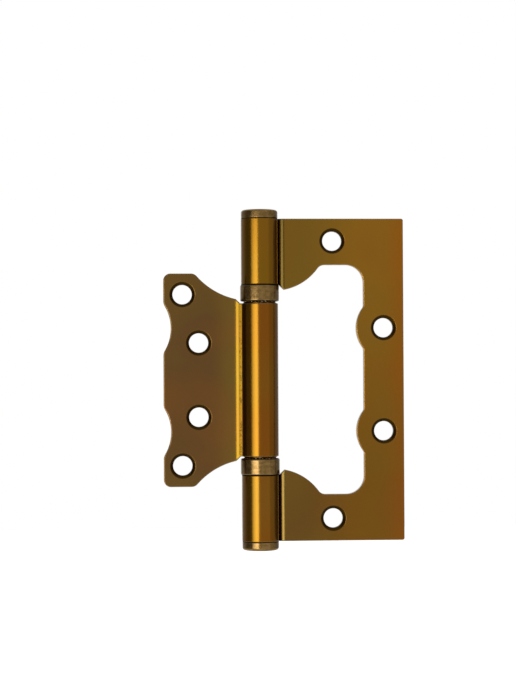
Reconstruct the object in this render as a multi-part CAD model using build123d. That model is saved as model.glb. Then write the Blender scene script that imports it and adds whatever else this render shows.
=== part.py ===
from build123d import *
from math import asin, atan2, cos, degrees, pi, radians, sin, sqrt
import os

os.makedirs("parts", exist_ok=True)

# Surface-mounted hinge whose door leaf folds into a window in the frame leaf.
# Z is the pin axis, +X the reach of the frame leaf, and -Y the side the screws go in from.
# The origin is on the pin axis at mid-height, and the hinge lies open flat.

# Sheet and rolled barrel
leaf_height = 100.0            # frame leaf, end to end
sheet = 2.5                    # thickness of both leaves
bore_radius = 3.25             # inside of the rolled knuckles
end_knuckle_length = 20.6      # each of the frame leaf's two knuckles
edge_round = 0.2               # on every sharp edge of the leaves
sharp_angle = 40.0             # faces that meet at more than this make a sharp edge, degrees

# Necks, where a flat sheet bends off to one side and rolls round the pin
frame_neck_reach = 2.0         # from the barrel's side to the end of the flat
frame_neck_bend = 0.25         # first bend, inside radius
frame_neck_angle = 30.0        # slope of the ramp that follows it, degrees
frame_crease = 0.3             # inside radius where the ramp meets the barrel
door_neck_reach = 2.3
door_neck_bend = 3.65
door_neck_angle = 21.0
door_crease = 1.0
seam_angle = 12.0              # a roll stops this far short of its leaf's plane, degrees

# Frame leaf
frame_reach = 44.8             # axis to the far edge
frame_corner = 0.6
rail_height = 14.4             # end rails above and below the window
far_rail = 12.5                # width of the rail beyond the window
window_corner = 5.6
window_fillet = 2.6            # where a tab's lobe runs into the window's edge
land_radius = 10.4             # rounded land beside each hole in the far rail
land_rise = 2.3                # how far a land stands into the window
land_fillet = 1.3
lobe_centre_x = 4.6            # round shoulder of each tab
lobe_clear = 11.1              # from its side to the window's far edge
lobe_drop = 1.75               # how far it hangs below the end knuckle's inner end
relief_reach = 1.45            # from the bearing's side to the slanted relief that clears it

# Door leaf, which lies inside the window when the hinge is shut
side_gap = 2.4                 # between its far edge and the window's
end_gap = 2.6                  # between its ends and the window's
lobe_gap = 3.1                 # between its hollows and the tabs' shoulders, at their lowest points
hollow_ease = 6.0              # a hollow's radius is this much larger than a shoulder's
hollow_shift = 2.0             # and its centre this much nearer the pin
door_corner = 2.2
hollow_fillet = 2.4
scallop_radius = 13.6
scallop_fillet = 3.0

# Screw holes: distances in from the leaf's far edge and from its end, or heights from the middle
hole_radius = 3.0
countersink_radius = 3.9
rail_hole_inset = 22.2
rail_hole_end = 6.95
land_hole_inset = 6.25
land_hole_z = 16.05
outer_hole_inset = 5.85
outer_hole_end = 6.5
inner_hole_inset = 10.9
inner_hole_z = 11.5

# Pin and the plugs that close the barrel
pin_radius = 3.2
pin_chamfer = 0.4
plug_length = 6.0
plug_play = 0.01
cap_radius = 5.7
cap_height = 2.7
cap_round = 0.8
cap_seam_round = 0.3

# Thrust ball bearings between the knuckles
bearing_height = 5.7
shell_radius = 6.05
shell_wall = 0.7
shell_end = 0.8
shell_round = 0.45             # beside the end knuckle
mouth_round = 0.5              # at the open end
mouth_gap = 0.65               # from the shell's rim to the middle knuckle
ball_radius = 0.5
ball_circle = 4.5              # radius through the balls' centres
ball_spacing = 0.06            # between one ball and the next
ball_height = 0.62             # ball centre above the middle knuckle's end
ball_play = 0.03
groove_radius = 0.56
groove_depth = 0.12
race_radius = 5.25             # turning race
race_depth = 0.6               # let into the middle knuckle's end
race_foot_round = 0.25         # clears the round at the bottom of the knuckle's seat
race_play = 0.02
sleeve_radius = 3.8            # the turning race's sleeve, through the fixed race
sleeve_play = 0.1
sleeve_end_gap = 0.3

# Derived places
half_sheet = sheet / 2
half_height = leaf_height / 2
barrel_radius = bore_radius + sheet
roll_radius = bore_radius + half_sheet
frame_neck_start = barrel_radius + frame_neck_reach
door_neck_start = barrel_radius + door_neck_reach
relief_x = shell_radius + relief_reach
knuckle_start = half_height - end_knuckle_length
middle_end = knuckle_start - bearing_height
window_reach = frame_reach - far_rail
window_half = half_height - rail_height
door_reach = window_reach - side_gap
door_half = window_half - end_gap
lobe_radius = window_reach - lobe_clear - lobe_centre_x
lobe_z = knuckle_start - lobe_drop + lobe_radius
lobe = (lobe_centre_x, lobe_z, lobe_radius)
hollow_z = lobe_z - lobe_gap + hollow_ease
hollow = (lobe_centre_x - hollow_shift, hollow_z, lobe_radius + hollow_ease)
ball_count = int(pi / asin((ball_radius + ball_spacing / 2) / ball_circle))


# One half of a flat outline, z up as local y, completed by its mirror image
def whole_outline(half):
    return half + mirror(half, Plane.XZ)


# Rounds the corners of a flat outline at (x, z) and (x, -z)
def soften(outline, x, z, radius):
    near = 0.01
    corners = [v for v in outline.vertices() if abs(v.X - x) < near and abs(abs(v.Y) - z) < near]
    return fillet(corners, radius)


# Height of a circle (centre x, centre z, radius) on its lower side, at distance x from the axis
def low_side(circle, x):
    centre_x, centre_z, radius = circle
    return centre_z - sqrt(radius**2 - (x - centre_x) ** 2)


# Distance from the axis at which the far side of such a circle passes height z
def far_side(circle, z):
    centre_x, centre_z, radius = circle
    return centre_x + sqrt(radius**2 - (centre_z - z) ** 2)


# Arc on such a circle from distance x1 at its lower side out to height z2
def low_arc(circle, x1, z2):
    centre_x, centre_z, radius = circle
    first = atan2(low_side(circle, x1) - centre_z, x1 - centre_x)
    last = atan2(z2 - centre_z, far_side(circle, z2) - centre_x)
    return CenterArc((centre_x, centre_z), radius, degrees(first), degrees(last - first))


# Section of a leaf square to the pin: flat, first bend, ramp, tight bend and roll.
# The sheet comes in from +X, bends towards +Y and goes round by way of +Y, -X and -Y.
def rolled_section(reach, neck_start, inside_bend, neck_angle, crease_radius):
    neck_bend = inside_bend + half_sheet
    turn = radians(neck_angle)
    along = Vector(-cos(turn), sin(turn))
    across = Vector(sin(turn), cos(turn))
    bend_centre = Vector(neck_start, neck_bend)
    tight_bend = crease_radius + half_sheet
    ramp_offset = bend_centre - across * (neck_bend - tight_bend)
    inward = ramp_offset.dot(along)
    to_roll = roll_radius + tight_bend
    ramp = -inward - sqrt(inward**2 - ramp_offset.dot(ramp_offset) + to_roll**2)
    tight_centre = ramp_offset + along * ramp
    roll_start = degrees(atan2(tight_centre.Y, tight_centre.X))
    roll_turn = 360 - seam_angle - roll_start
    tight_turn = 90 - neck_angle - roll_start

    front_bend = CenterArc(bend_centre, inside_bend + sheet, 270, -neck_angle)
    front_ramp = Line(front_bend @ 1, front_bend @ 1 + along * ramp)
    front_tight = CenterArc(tight_centre, tight_bend + half_sheet, 270 - neck_angle, -tight_turn)
    bore = CenterArc((0, 0), bore_radius, roll_start, roll_turn)
    outside = CenterArc((0, 0), barrel_radius, roll_start + roll_turn, -roll_turn)
    crease = CenterArc(tight_centre, crease_radius, 180 + roll_start, tight_turn)
    back_ramp = Line(crease @ 1, crease @ 1 - along * ramp)
    back_bend = CenterArc(bend_centre, inside_bend, 270 - neck_angle, neck_angle)
    edges = [
        Line((reach, -half_sheet), (neck_start, -half_sheet)),
        front_bend,
        front_ramp,
        front_tight,
        bore,
        Line(bore @ 1, outside @ 0),
        outside,
        crease,
        back_ramp,
        back_bend,
        Line((neck_start, half_sheet), (reach, half_sheet)),
        Line((reach, half_sheet), (reach, -half_sheet)),
    ]
    return Face(Wire(edges))


# The frame leaf's flat outline: a rectangle with the window cut out of it
def frame_outline():
    shoulder = low_side(lobe, relief_x)
    relief_foot = relief_x - (knuckle_start - shoulder)
    lobe_end = far_side(lobe, window_half)
    behind = -2 * barrel_radius
    half_window = Face(Wire([
        Line((behind, 0), (behind, knuckle_start)),
        Line((behind, knuckle_start), (relief_foot, knuckle_start)),
        Line((relief_foot, knuckle_start), (relief_x, shoulder)),
        low_arc(lobe, relief_x, window_half),
        Line((lobe_end, window_half), (window_reach, window_half)),
        Line((window_reach, window_half), (window_reach, 0)),
        Line((window_reach, 0), (behind, 0)),
    ]))
    land_centre_x = window_reach - land_rise + land_radius
    land_chord = sqrt(land_radius**2 - (land_radius - land_rise) ** 2)
    land = Pos(land_centre_x, land_hole_z) * Circle(land_radius)
    window = whole_outline(half_window - land)
    window = soften(window, window_reach, window_half, window_corner)
    window = soften(window, lobe_end, window_half, window_fillet)
    window = soften(window, window_reach, land_hole_z + land_chord, land_fillet)
    window = soften(window, window_reach, land_hole_z - land_chord, land_fillet)
    left = -barrel_radius
    sheet_blank = Pos((left + frame_reach) / 2, 0) * Rectangle(frame_reach - left, leaf_height)
    sheet_blank = soften(sheet_blank, frame_reach, half_height, frame_corner)
    return sheet_blank - window


# The door leaf's flat outline, drawn to +X as it lies when the hinge is shut
def door_outline():
    shoulder = low_side(hollow, relief_x)
    relief_foot = relief_x - (shoulder - middle_end)
    hollow_end = far_side(hollow, door_half)
    left = -barrel_radius
    half = Face(Wire([
        Line((left, 0), (left, middle_end)),
        Line((left, middle_end), (relief_foot, middle_end)),
        Line((relief_foot, middle_end), (relief_x, shoulder)),
        low_arc(hollow, relief_x, door_half),
        Line((hollow_end, door_half), (door_reach, door_half)),
        Line((door_reach, door_half), (door_reach, 0)),
        Line((door_reach, 0), (left, 0)),
    ]))
    scallop_depth = land_rise
    scallop_centre_x = door_reach - scallop_depth + scallop_radius
    scallop_chord = sqrt(scallop_radius**2 - (scallop_radius - scallop_depth) ** 2)
    scallop = Pos(scallop_centre_x, land_hole_z) * Circle(scallop_radius)
    outline = whole_outline(half - scallop)
    outline = soften(outline, door_reach, door_half, door_corner)
    outline = soften(outline, hollow_end, door_half, hollow_fillet)
    outline = soften(outline, door_reach, land_hole_z + scallop_chord, scallop_fillet)
    return soften(outline, door_reach, land_hole_z - scallop_chord, scallop_fillet)


# A countersunk screw hole through the sheet, entered from the front (side = -1) or the back
def screw_hole(x, z, side):
    sink = countersink_radius - hole_radius
    profile = Polyline(
        (0, -sheet),
        (hole_radius, -sheet),
        (hole_radius, half_sheet - sink),
        (countersink_radius + sheet, half_sheet + sheet),
        (0, half_sheet + sheet),
        close=True,
    )
    cutter = revolve(Plane.XZ * make_face(profile), Axis.Z, 360)
    return Pos(x, 0, z) * Rot(-90 * side, 0, 0) * cutter


# Every edge where two faces meet at more than a set angle, rounded
def break_edges(body):
    sharp = []
    faces_at = {}
    for face in body.faces():
        for edge in face.edges():
            faces_at.setdefault(edge, []).append(face)
    for edge, faces in faces_at.items():
        if len(faces) == 2:
            middle = edge @ 0.5
            if faces[0].normal_at(middle).get_angle(faces[1].normal_at(middle)) > sharp_angle:
                sharp.append(edge)
    return fillet(sharp, edge_round)


# A leaf to +X: its section run the full height and trimmed to its outline
def leaf(section, outline, holes, side):
    body = extrude(section, half_height, both=True)
    body = body & extrude(Plane.XZ * outline, 2 * barrel_radius, both=True)
    for x, z in holes:
        body -= screw_hole(x, z, side)
        body -= screw_hole(x, -z, side)
    return body


def frame_leaf():
    rail_hole = (frame_reach - rail_hole_inset, half_height - rail_hole_end)
    land_hole = (frame_reach - land_hole_inset, land_hole_z)
    section = rolled_section(
        frame_reach, frame_neck_start, frame_neck_bend, frame_neck_angle, frame_crease
    )
    return break_edges(leaf(section, frame_outline(), [rail_hole, land_hole], -1))


# The door leaf is drawn shut, then turned about the pin until it lies open flat
def door_leaf():
    outer_hole = (door_reach - outer_hole_inset, door_half - outer_hole_end)
    inner_hole = (door_reach - inner_hole_inset, inner_hole_z)
    section = rolled_section(
        door_reach, door_neck_start, door_neck_bend, door_neck_angle, door_crease
    )
    shut = leaf(section, door_outline(), [outer_hole, inner_hole], 1)
    for end in (middle_end, -middle_end):
        shut -= Pos(0, 0, end) * Cylinder(race_radius, 2 * race_depth)
    return Rot(0, 0, 180) * break_edges(shut)


# A turned or drawn piece: its half section (radius, height) spun about the pin axis
def turned(section):
    return revolve(Plane.XZ * section, Axis.Z, 360)


# A ring's half section between two radii and two heights
def ring(inner, outer, low, high):
    return Pos((inner + outer) / 2, (low + high) / 2) * Rectangle(outer - inner, high - low)


def hinge_pin():
    pin = Cylinder(pin_radius, 2 * (half_height - plug_length))
    return chamfer(pin.edges().filter_by(GeomType.CIRCLE), pin_chamfer)


# Plug with a flat head that closes the top of the barrel
def end_cap():
    top = half_height + cap_height
    head = ring(0, cap_radius, half_height, top)
    head = soften(head, cap_radius, top, cap_round)
    head = soften(head, cap_radius, half_height, cap_seam_round)
    plug = ring(0, bore_radius - plug_play, half_height - plug_length, half_height)
    return turned(head + plug)


# The upper bearing, with heights from the end of the middle knuckle
def drawn_shell():
    inside = shell_radius - shell_wall
    section = ring(bore_radius, shell_radius, mouth_gap, bearing_height)
    section -= ring(bore_radius, inside, mouth_gap, bearing_height - shell_end)
    section = soften(section, shell_radius, mouth_gap, mouth_round)
    section = soften(section, shell_radius, bearing_height, shell_round)
    return turned(section)


def fixed_race():
    low = ball_height + ball_radius + ball_play - groove_depth
    high = bearing_height - shell_end
    section = ring(sleeve_radius + sleeve_play, shell_radius - shell_wall - race_play, low, high)
    groove = Pos(ball_circle, low + groove_depth - groove_radius) * Circle(groove_radius)
    return turned(section - groove)


def turning_race():
    high = ball_height - ball_radius - ball_play + groove_depth
    sleeve_top = bearing_height - shell_end - sleeve_end_gap
    section = ring(bore_radius, race_radius - race_play, -race_depth, high)
    section = soften(section, race_radius - race_play, race_depth, race_foot_round)
    section += ring(bore_radius, sleeve_radius, -race_depth, sleeve_top)
    groove = Pos(ball_circle, high - groove_depth + groove_radius) * Circle(groove_radius)
    return turned(section - groove)


def ball_ring():
    first = Pos(ball_circle, 0, ball_height) * Sphere(ball_radius)
    return Compound([Rot(0, 0, 360 * i / ball_count) * first for i in range(ball_count)])


pieces = {
    "frame_leaf": frame_leaf(),
    "door_leaf": door_leaf(),
    "hinge_pin": hinge_pin(),
    "upper_cap": end_cap(),
    "lower_cap": mirror(end_cap(), Plane.XY),
}
bearing = {
    "bearing_shell": drawn_shell(),
    "fixed_race": fixed_race(),
    "turning_race": turning_race(),
    "balls": ball_ring(),
}
for name, piece in bearing.items():
    upper = Pos(0, 0, middle_end) * piece
    pieces["upper_" + name] = upper
    pieces["lower_" + name] = mirror(upper, Plane.XY)

for name, piece in pieces.items():
    export_step(piece, f"parts/{name}.step")
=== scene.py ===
import math
import bpy
import numpy as np
from mathutils import Matrix, Vector

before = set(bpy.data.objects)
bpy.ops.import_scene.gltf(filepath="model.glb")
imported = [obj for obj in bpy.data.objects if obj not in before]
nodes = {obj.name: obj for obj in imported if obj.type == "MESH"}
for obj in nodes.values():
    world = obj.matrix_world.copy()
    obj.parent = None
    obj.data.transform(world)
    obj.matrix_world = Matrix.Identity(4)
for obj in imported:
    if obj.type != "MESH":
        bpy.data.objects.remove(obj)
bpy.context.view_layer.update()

print("stage: frame loaded,", len(nodes), "nodes")


# A socket that can be used in Python sums: each operator adds one Math node
class Wire:
    def __init__(self, graph, socket):
        self.graph = graph
        self.socket = socket

    def maths(self, operation, *values):
        inputs = dict(enumerate(values))
        return self.graph.add("ShaderNodeMath", {"operation": operation}, inputs)

    def __add__(self, other):
        return self.maths("ADD", self, other)

    def __radd__(self, other):
        return self.maths("ADD", other, self)

    def __sub__(self, other):
        return self.maths("SUBTRACT", self, other)

    def __rsub__(self, other):
        return self.maths("SUBTRACT", other, self)

    def __mul__(self, other):
        return self.maths("MULTIPLY", self, other)

    def __rmul__(self, other):
        return self.maths("MULTIPLY", other, self)

    def __abs__(self):
        return self.maths("ABSOLUTE", self)

    def lesser(self, other):
        return self.maths("MINIMUM", self, other)

    def greater(self, other):
        return self.maths("MAXIMUM", self, other)

    # another output of the same node
    def output(self, name):
        return Wire(self.graph, self.socket.node.outputs[name])


# The nodes of one material or world
class Graph:
    def __init__(self, owner):
        owner.use_nodes = True
        self.tree = owner.node_tree
        self.tree.nodes.clear()

    # Any node: its type, its settings, then the values or wires of its sockets
    def add(self, kind, settings=None, inputs=None, output=0):
        node = self.tree.nodes.new(kind)
        for name, value in (settings or {}).items():
            setattr(node, name, value)
        for name, value in (inputs or {}).items():
            if isinstance(value, Wire):
                self.tree.links.new(value.socket, node.inputs[name])
            else:
                node.inputs[name].default_value = value
        return Wire(self, node.outputs[output]) if node.outputs else node

    def coordinates(self):
        return self.add("ShaderNodeTexCoord", output="Object")

    # X, Y and Z of a place, one wire each
    def axes(self, place):
        x = self.add("ShaderNodeSeparateXYZ", None, {0: place})
        return x, x.output("Y"), x.output("Z")

    # 0 to 1 noise; size is the width of one blotch in metres, stretch is along X, Y and Z
    def noise(self, place, size, stretch=(1, 1, 1), detail=2, offset=(0, 0, 0)):
        scale = tuple(1 / (size * s) for s in stretch)
        moved = {"Vector": place, "Location": offset, "Scale": scale}
        moved = self.add("ShaderNodeMapping", None, moved)
        return self.add("ShaderNodeTexNoise", None, {"Vector": moved, "Scale": 1.0, "Detail": detail})

    # 0 below low, 1 above high, smooth in between
    def step(self, value, low, high):
        sockets = {"Value": value, "From Min": low, "From Max": high, "To Min": 0.0, "To Max": 1.0}
        return self.add("ShaderNodeMapRange", {"interpolation_type": "SMOOTHSTEP"}, sockets)

    # 1 between start and end, 0 outside, with a soft border
    def band(self, value, start, end, soft):
        rise = self.step(value, start - soft, start + soft)
        return rise * (1 - self.step(value, end - soft, end + soft))

    # painted shade in the seams: 1 where the height |z| is well within a seam's width of that seam
    def seamShadeMask(self, z, seams, soft=0.4):
        seamShade = None
        for height, width in seams:
            line = 1 - self.step(abs(abs(z) - height), width * (1 - soft), width)
            seamShade = line if seamShade is None else seamShade.greater(line)
        return seamShade

    # first where share is 0, second where it is 1; a Mix node's colours are its sockets 6 and 7
    def mixColour(self, share, first, second):
        first, second = (c if isinstance(c, Wire) else (*c, 1) for c in (first, second))
        sockets = {0: share, 6: first, 7: second}
        return self.add("ShaderNodeMix", {"data_type": "RGBA"}, sockets, 2)

    # the face's normal, turned at every edge as a round of this radius would turn it
    def softEdges(self, radius):
        return self.add("ShaderNodeBevel", {"samples": 6}, {"Radius": radius})

    # the normal over a relief in metres
    def bump(self, relief, normal=None):
        inputs = {"Strength": 1.0, "Distance": 1.0, "Height": relief}
        if normal is not None:
            inputs["Normal"] = normal
        return self.add("ShaderNodeBump", None, inputs)

    def finish(self, inputs):
        surface = self.add("ShaderNodeBsdfPrincipled", None, inputs)
        self.add("ShaderNodeOutputMaterial", None, {"Surface": surface})

    def finishMetal(self, tone, roughness, normal):
        self.finish({"Base Color": tone, "Metallic": 1.0, "Roughness": roughness, "Normal": normal})


def newMaterial(name):
    material = bpy.data.materials.new(name)
    return material, Graph(material)


def paint(material, names):
    for name in names:
        mesh = nodes[name].data
        mesh.materials.clear()
        mesh.materials.append(material)


# Plated steel sheet of the two leaves. Places and sizes are in metres, pairs are where a change
# starts and ends
sheetFinish = {
    "doorSide": (0.102, 0.053, 0.017),    # flat of the door leaf
    "doorNeck": (0.135, 0.076, 0.016),    # beside its neck
    "doorBend": (0.150, 0.084, 0.0065),   # the strip that bends into the middle knuckle
    "barrel": (0.165, 0.078, 0.0060),     # round the pin
    "barrelShadeRed": (0.165, 0.056, 0.0050),  # flanks of the middle and lower knuckles, painted redder and darker beside the highlight, as in shade
    "upperTab": (0.158, 0.084, 0.011),
    "lowerTab": (0.112, 0.056, 0.012),
    "upperRail": (0.215, 0.100, 0.0100),
    "lowerRail": (0.150, 0.068, 0.0080),
    "upperEdge": (0.245, 0.082, 0.0070),  # redder plating beside the outer edge
    "lowerEdge": (0.190, 0.064, 0.0070),
    "upperCreaseShade": (0.165, 0.095, 0.024),  # painted shade down in the frame leaf's creases, darker at the bottom
    "lowerCreaseShade": (0.095, 0.053, 0.012),
    "upperNeckShade": (0.064, 0.040, 0.008),   # and painted shade on its bends, dimming their highlight
    "lowerNeckShade": (0.098, 0.062, 0.014),

    # tones in their order along X
    "doorTones": [("doorNeck", -0.0160, -0.0080), ("doorBend", -0.0080, -0.0074),
                  ("barrel", -0.0064, -0.0054)],
    "frameTones": [("Tab", 0.0058, 0.0075), ("Rail", 0.0120, 0.0320), ("Edge", 0.0370, 0.0460)],
    "paler": (-0.045, 0.045),             # heights between the lower and the upper tones
    "redRight": (-0.0012, -0.0002),       # painted shade on the right flank of the barrel, from its highlight on
    "redFade": (0.0015, 0.0055),
    "redFadeShare": 0.6,
    "redLeft": (-0.0056, -0.0032),        # painted shade on the left flank
    "redLeftSoft": 0.0004,
    "redLeftShare": 0.5,
    "redTop": (0.0240, 0.0290),           # no redder flanks above the middle knuckle
    "atCreaseShade": (0.0055, 0.0063),
    "atNeckShade": (0.0064, 0.0077),
    "neckSoft": 0.0002,
    "neckMiddle": (-0.010, 0.010),        # heights between the lower and the upper neck
    "tabStart": (0.0280, 0.0288),
    "barrelSide": (0.0056, 0.0062),

    # wide blotches
    "olive": (0.150, 0.090, 0.014),
    "oliveRange": (0.45, 0.70),
    "red": (0.180, 0.064, 0.014),
    "redRange": (0.55, 0.30),
    "blotchSize": 0.030,
    "blotchPlace": (3.1, 0, 1.7),
    "blotchShare": 0.30,

    # painted highlight along every edge
    "edgeRadius": 0.00040,                # soft look of every edge
    "edgeHighlight": (0.300, 0.210, 0.105),    # paler colour there, a painted highlight
    "edgeAgree": (0.93, 0.99),            # how far the soft normal has to turn away
    "edgeHighlightShare": 0.7,

    # countersunk holes, their walls painted in shade: centres as (x, |z|)
    "holes": [(0.0226, 0.04305), (0.03855, 0.01605), (-0.02405, 0.0265), (-0.0190, 0.0115)],
    "holeEdge": 0.00398,
    "holeSoft": 0.0001,
    "holeShade": 0.30,
    "backFace": (0.0011, 0.0012),

    # painted shade in the seams at the ends of the outer knuckles, its colour also used for the
    # strip's dark dots: height and width
    "seamShade": (0.012, 0.006, 0.002),
    "seams": [(0.0294, 0.00034), (0.0500, 0.00022)],

    # rough dotted strip beside the door leaf's crease
    "strip": (-0.00650, -0.00575),
    "stripSoft": 0.00008,
    "stripFace": (-0.0014, -0.0013),
    "stripEnd": (0.0232, 0.0236),
    "dotSize": 0.00040,
    "dotRange": (0.50, 0.60),
    "dotShare": 0.8,
    "dotHeight": 0.00003,
    "patchSize": 0.012,                   # the dots are thicker in patches
    "patchPlace": (0, 0, 5),
    "patchRange": (0.42, 0.58),
    "patchLeast": 0.25,

    # gloss and relief
    "roughness": 0.20,
    "smearSize": 0.012,
    "smearStretch": (1, 1, 2.5),
    "smearSpread": 0.05,
    "fineSize": 0.0009,
    "fineSpread": 0.03,
    "stripRoughness": 0.12,               # added to the roughness there
    "holeRoughness": 0.15,
    "seamRoughness": 0.3,
    "peelSize": 0.0016,
    "peelHeight": 0.0000025,
    "grainSize": 0.00022,
    "grainHeight": 0.0000008,
}


# Tones along X from the door leaf to the frame leaf's outer edge, the barrel's flanks beside its
# highlight painted redder and darker as in shade, the frame leaf paler at the top, then wide olive
# and red blotches
def platingTone(g, place, x, z, values):
    tone = values["doorSide"]
    for name, start, end in values["doorTones"]:
        tone = g.mixColour(g.step(x, start, end), tone, values[name])

    # painted shade: the barrel's flanks right and left of its highlight are redder and darker
    right = g.step(x, *values["redRight"])
    right = right * (1 - g.step(x, *values["redFade"]) * values["redFadeShare"])
    left = g.band(x, *values["redLeft"], values["redLeftSoft"]) * values["redLeftShare"]
    redderShade = right.greater(left) * (1 - g.step(z, *values["redTop"]))
    tone = g.mixColour(redderShade, tone, values["barrelShadeRed"])

    height = g.step(z, *values["paler"])
    for name, start, end in values["frameTones"]:
        shade = g.mixColour(height, values["lower" + name], values["upper" + name])
        tone = g.mixColour(g.step(x, start, end), tone, shade)

    blotch = g.noise(place, values["blotchSize"], offset=values["blotchPlace"])
    for name in ("olive", "red"):
        share = g.step(blotch, *values[name + "Range"]) * values["blotchShare"]
        tone = g.mixColour(share, tone, values[name])
    return tone


# The tone with painted shade in the frame leaf's crease and on its bend, between its tabs and their
# knuckles
def neckShadeTone(g, tone, x, z, values):
    upperHalf = g.step(z, *values["neckMiddle"])
    onFrame = g.step(abs(z), *values["tabStart"])
    for name in ("CreaseShade", "NeckShade"):
        shade = g.mixColour(upperHalf, values["lower" + name], values["upper" + name])
        there = g.band(x, *values["at" + name], values["neckSoft"]) * onFrame
        tone = g.mixColour(there, tone, shade)
    return tone


# 1 on the countersunk holes' walls: near a hole's centre across the leaf, and not on the back
def holeMask(g, x, y, z, values):
    across = g.add("ShaderNodeCombineXYZ", None, {"X": x, "Z": abs(z)})
    near = None
    for holeX, holeZ in values["holes"]:
        ends = {0: across, 1: (holeX, 0, holeZ)}
        away = g.add("ShaderNodeVectorMath", {"operation": "DISTANCE"}, ends, "Value")
        near = away if near is None else near.lesser(away)
    edge, soft = values["holeEdge"], values["holeSoft"]
    return (1 - g.step(near, edge - soft, edge + soft)) * (1 - g.step(y, *values["backFace"]))


# 1 on the rough strip beside the door leaf's crease, on the front face between the bearings
def stripMask(g, x, y, z, values):
    strip = g.band(x, *values["strip"], values["stripSoft"])
    return strip * (1 - g.step(y, *values["stripFace"])) * (1 - g.step(abs(z), *values["stripEnd"]))


def platedSheet(values):
    material, g = newMaterial("platedSheet")
    place = g.coordinates()
    x, y, z = g.axes(place)
    tone = platingTone(g, place, x, z, values)
    tone = neckShadeTone(g, tone, x, z, values)

    # painted highlight along the edges: where the softened normal turns away from the face's own
    edges = g.softEdges(values["edgeRadius"])
    face = g.add("ShaderNodeNewGeometry", output="Normal")
    agree = g.add("ShaderNodeVectorMath", {"operation": "DOT_PRODUCT"}, {0: edges, 1: face}, "Value")
    paintedHighlight = 1 - g.step(agree, *values["edgeAgree"])
    tone = g.mixColour(paintedHighlight * values["edgeHighlightShare"], tone, values["edgeHighlight"])

    # painted shade on the countersunk walls of the holes
    inHole = holeMask(g, x, y, z, values)
    tone = g.mixColour(inHole, tone, tuple(c * values["holeShade"] for c in values["barrel"]))

    # painted shade in the seams where the knuckles meet the caps and the bearings
    seamShade = g.seamShadeMask(z, values["seams"]) * (1 - g.step(abs(x), *values["barrelSide"]))
    tone = g.mixColour(seamShade, tone, values["seamShade"])

    # dark dots on the rough strip, in the seams' painted shade colour
    strip = stripMask(g, x, y, z, values)
    dots = g.noise(place, values["dotSize"], detail=3)
    patch = g.noise(place, values["patchSize"], offset=values["patchPlace"])
    least = values["patchLeast"]
    thick = least + g.step(patch, *values["patchRange"]) * (1 - least)
    dotted = strip * g.step(dots, *values["dotRange"]) * thick
    tone = g.mixColour(dotted * values["dotShare"], tone, values["seamShade"])

    smear = g.noise(place, values["smearSize"], values["smearStretch"], detail=3)
    fine = g.noise(place, values["fineSize"], detail=3)
    roughness = values["roughness"] + (smear - 0.5) * values["smearSpread"]
    roughness = roughness + (fine - 0.5) * values["fineSpread"]
    roughness = roughness + strip * values["stripRoughness"]
    roughness = roughness + inHole * values["holeRoughness"] + seamShade * values["seamRoughness"]

    peel = g.noise(place, values["peelSize"], detail=1)
    grain = g.noise(place, values["grainSize"], detail=1)
    relief = peel * values["peelHeight"] + grain * values["grainHeight"]
    relief = relief + strip * dots * values["dotHeight"]
    g.finishMetal(tone, roughness, g.bump(relief, edges))
    return material


# Turned bronze finish of the caps and the bearing shells
bronzeFinish = {
    "light": (0.196, 0.119, 0.041),
    "dark": (0.132, 0.078, 0.024),
    "seamShade": (0.012, 0.008, 0.003),
    "seams": [(0.0294, 0.00028), (0.0500, 0.00018)],
    "mouth": (0.02445, 0.02465),          # a shell is painted in shade below this height, down in the bearing's gap
    "edgeRadius": 0.0002,
    "draft": 0.07,                        # the upper ones' walls look as if they leaned in a little
    "blotchSize": 0.0020,
    "blotchStretch": (1, 1, 0.6),
    "grainSize": 0.00045,
    "grainShare": 0.4,                    # of the grain in the mottled tone
    "mottleRange": (0.40, 0.60),
    "lowerGrain": 0.0000035,              # heights of the grain
    "upperGrain": 0.0000210,
    "grainRise": (0, 0.02),
    "markPitch": 0.00012,                 # turning marks, one above the other
    "markStretch": (60, 60, 1),
    "markHeight": 0.0000010,
    "roughness": 0.20,
    "grainSpread": 0.16,
    "blotchSpread": 0.10,
    "seamRoughness": 0.3,
}


def turnedBronze(values):
    material, g = newMaterial("turnedBronze")
    place = g.coordinates()
    x, y, z = g.axes(place)
    blotch = g.noise(place, values["blotchSize"], values["blotchStretch"], detail=3)
    grain = g.noise(place, values["grainSize"], detail=2)
    mottle = blotch * (1 - values["grainShare"]) + grain * values["grainShare"]
    tone = g.mixColour(g.step(mottle, *values["mottleRange"]), values["dark"], values["light"])
    # painted shade in the seams and in the bearing's gap below each shell's mouth
    seamShade = g.seamShadeMask(z, values["seams"]).greater(1 - g.step(abs(z), *values["mouth"]))
    tone = g.mixColour(seamShade, tone, values["seamShade"])

    roughness = values["roughness"] + (grain - 0.5) * values["grainSpread"]
    roughness = roughness + (blotch - 0.5) * values["blotchSpread"] + seamShade * values["seamRoughness"]

    lower, upper = values["lowerGrain"], values["upperGrain"]
    grainHeight = lower + g.step(z, *values["grainRise"]) * (upper - lower)
    marks = g.noise(place, values["markPitch"], values["markStretch"], detail=1)
    relief = marks * values["markHeight"] + grain * grainHeight - z.greater(0) * values["draft"]
    g.finishMetal(tone, roughness, g.bump(relief, g.softEdges(values["edgeRadius"])))
    return material


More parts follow.
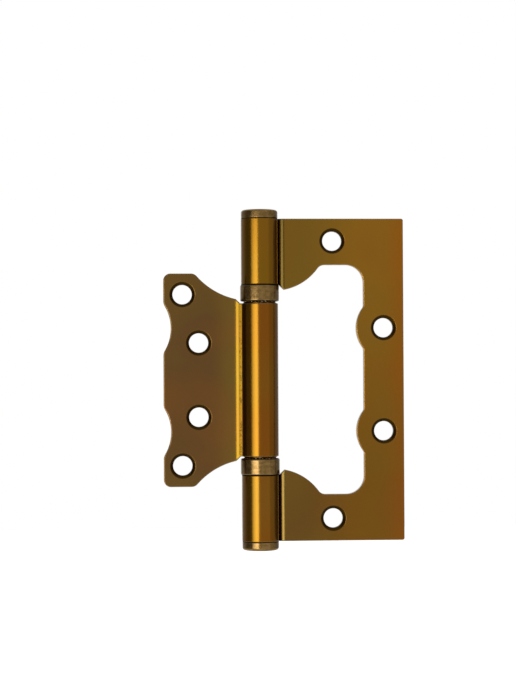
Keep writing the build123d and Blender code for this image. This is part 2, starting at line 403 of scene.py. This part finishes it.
# Bearing steel of the pin, races and balls, mostly dark with grease; the dark greased tone also
# paints the shade down in the bearings' gaps
steelFinish = {
    "clean": (0.30, 0.24, 0.15),
    # dark grease, which also paints the shade down in the bearings' gaps
    "greasedShade": (0.045, 0.020, 0.004),
    "cleanRange": (0.52, 0.70),
    "smearSize": 0.0012,
    "smearStretch": (1, 1, 0.5),
    "smearMiddle": 0.4,
    "smearSpread": 0.20,
    "roughness": 0.20,
    "markPitch": 0.00009,                 # grinding marks, one above the other
    "markStretch": (60, 60, 1),
    "markHeight": 0.0000006,
}


def greasedShadedSteel(values):
    material, g = newMaterial("greasedShadedSteel")
    place = g.coordinates()
    smear = g.noise(place, values["smearSize"], values["smearStretch"], detail=3)
    tone = g.mixColour(g.step(smear, *values["cleanRange"]), values["greasedShade"], values["clean"])
    roughness = values["roughness"] + (smear - values["smearMiddle"]) * values["smearSpread"]
    marks = g.noise(place, values["markPitch"], values["markStretch"], detail=1)
    g.finishMetal(tone, roughness, g.bump(marks * values["markHeight"]))
    return material


turned = ["upper_cap", "lower_cap", "upper_bearing_shell", "lower_bearing_shell"]
hardened = ["hinge_pin"]
for end in ("upper", "lower"):
    hardened += [end + "_fixed_race", end + "_turning_race", end + "_balls"]
paint(platedSheet(sheetFinish), ["frame_leaf", "door_leaf"])
paint(turnedBronze(bronzeFinish), turned)
paint(greasedShadedSteel(steelFinish), hardened)
print("stage: finishes on", len(nodes), "nodes")


# A stage mesh over a grid of points: each face joins four neighbours
def stageSheet(name, x, y, z):
    points = np.stack(np.broadcast_arrays(x, y, z), axis=-1)
    rows, columns = points.shape[:2]
    corner = np.arange(rows * columns).reshape(rows, columns)
    around = [corner[:-1, :-1], corner[1:, :-1], corner[1:, 1:], corner[:-1, 1:]]
    faces = np.stack(around, axis=-1)
    mesh = bpy.data.meshes.new(name)
    mesh.from_pydata(points.reshape(-1, 3).tolist(), [], faces.reshape(-1, 4).tolist())
    mesh.update()
    made = bpy.data.objects.new(name, mesh)
    bpy.context.scene.collection.objects.link(made)
    return made


# Pale studio floor, well below the hinge, which hangs clear of it
studio = {
    "floorHeight": -0.30,
    "floorReach": 3.0,
    "floorColour": (0.80, 0.80, 0.80, 1),
    "floorRoughness": 0.7,
    "floorGlow": 0.70,
    "worldFill": 0.5,
}

# Grey cards at both sides, seen only in the metal: from front to back each fades from one
# brightness to the other
cards = {
    "leftCard": {"x": -0.80, "front": -0.56, "back": 1.5, "tall": 0.9,
                 "fade": (-0.05, 0.5), "frontGlow": 0.22, "backGlow": 0.52},
    "rightCard": {"x": 0.80, "front": -0.50, "back": 1.5, "tall": 0.9,
                  "fade": (-0.30, 0.6), "frontGlow": 0.74, "backGlow": 0.40},
}


# 1 on rays that show the background itself: straight to the camera, mirrored or let through
def showsBackground(g):
    rays = g.add("ShaderNodeLightPath", output="Is Camera Ray")
    return rays.greater(rays.output("Is Glossy Ray")).greater(rays.output("Is Transmission Ray"))


# A flat square floor, white where a ray shows it as background
def addFloor(values):
    edge = np.array([-values["floorReach"], values["floorReach"]])
    x, y = np.meshgrid(edge, edge, indexing="ij")
    floor = stageSheet("floor", x, y, values["floorHeight"])
    material, g = newMaterial("paleFloor")
    glow = g.mixColour(showsBackground(g), (0, 0, 0), (values["floorGlow"],) * 3)
    g.finish({"Base Color": values["floorColour"], "Roughness": values["floorRoughness"],
              "Emission Color": glow, "Emission Strength": 1.0})
    floor.data.materials.append(material)


# An upright glowing rectangle beside the hinge
def addCard(name, values):
    y, z = np.meshgrid([values["front"], values["back"]], [-values["tall"], values["tall"]],
                       indexing="ij")
    card = stageSheet(name, values["x"], y, z)
    card.visible_camera = False
    card.visible_shadow = False
    material, g = newMaterial(name)
    x, y, z = g.axes(g.coordinates())
    along = g.step(y, *values["fade"])
    glow = g.mixColour(along, (values["frontGlow"],) * 3, (values["backGlow"],) * 3)
    g.finish({"Base Color": (0, 0, 0, 1), "Roughness": 1.0, "Specular IOR Level": 0.0,
              "Emission Color": glow, "Emission Strength": 1.0})
    card.data.materials.append(material)


# White for rays that show the background, and a softer fill for the rest
def addWorld(values):
    world = bpy.data.worlds.new("studio")
    bpy.context.scene.world = world
    g = Graph(world)
    strength = values["worldFill"] + showsBackground(g) * (1 - values["worldFill"])
    light = g.add("ShaderNodeBackground", None, {"Color": (1, 1, 1, 1), "Strength": strength})
    g.add("ShaderNodeOutputWorld", None, {"Surface": light})


addFloor(studio)
for name, values in cards.items():
    addCard(name, values)
addWorld(studio)
print("stage: studio built")

# Softboxes side by side: angles in degrees from straight in front, left and down are negative
softboxes = {
    "away": 1.0,
    "low": -42,
    "high": 8,
    "lamps": [    # name, left, right, brightness
        ("mainSoftbox", -35, -14, 5.5),
        ("edgeSoftbox", -46, -35, 4.0),
        ("dimSoftbox", -56, -46, 1.7),
    ],
}


# An upright area lamp that spans the given angles, seen from the pin axis
def addSoftbox(name, left, right, brightness, values):
    angles = (left, right, values["low"], values["high"])
    left, right, low, high = (math.radians(angle) for angle in angles)
    away, turn = values["away"], (left + right) / 2
    width = 2 * away * math.tan((right - left) / 2)
    bottom, top = away * math.tan(low), away * math.tan(high)
    lamp = bpy.data.lights.new(name, "AREA")
    lamp.shape = "RECTANGLE"
    lamp.size, lamp.size_y = width, top - bottom
    lamp.energy = brightness * math.pi * width * (top - bottom)
    made = bpy.data.objects.new(name, lamp)
    bpy.context.scene.collection.objects.link(made)
    made.location = (math.sin(turn) * away, -math.cos(turn) * away, (top + bottom) / 2)
    made.rotation_euler = (math.pi / 2, 0, turn)
    made.visible_camera = False


for lampValues in softboxes["lamps"]:
    addSoftbox(*lampValues, softboxes)
print("stage: lamps placed")

# Camera at the photograph's angle, level with the hinge's middle and a little to its left
view = {
    "place": (-0.03602, -0.580, 0.0030),
    "turn": 3.5,        # to the right, degrees
    "rise": 0.80,       # upwards
    "roll": -0.275,
    "focalPixels": 1870.9,
    "longSidePixels": 688,
    "filmWidth": 36,    # millimetres
    "nearest": 0.01,
    "farthest": 20,
}


# The camera looks ahead along its turn and rise, then rolls about that line
def addCamera(values):
    camera = bpy.data.cameras.new("camera")
    camera.sensor_width = values["filmWidth"]
    camera.lens = values["focalPixels"] * values["filmWidth"] / values["longSidePixels"]
    camera.clip_start, camera.clip_end = values["nearest"], values["farthest"]
    made = bpy.data.objects.new("camera", camera)
    bpy.context.scene.collection.objects.link(made)
    turn, rise, roll = (math.radians(values[key]) for key in ("turn", "rise", "roll"))
    ahead = Vector((math.sin(turn) * math.cos(rise), math.cos(turn) * math.cos(rise), math.sin(rise)))
    right = Vector((math.cos(turn), -math.sin(turn), 0))
    above = right.cross(ahead)
    facing = Matrix((right, above, -ahead)).transposed().to_4x4()
    place = Matrix.Translation(values["place"])
    made.matrix_world = place @ facing @ Matrix.Rotation(roll, 4, "Z")
    bpy.context.scene.camera = made


addCamera(view)
bpy.context.scene.view_settings.view_transform = "Standard"
print("stage: camera placed")
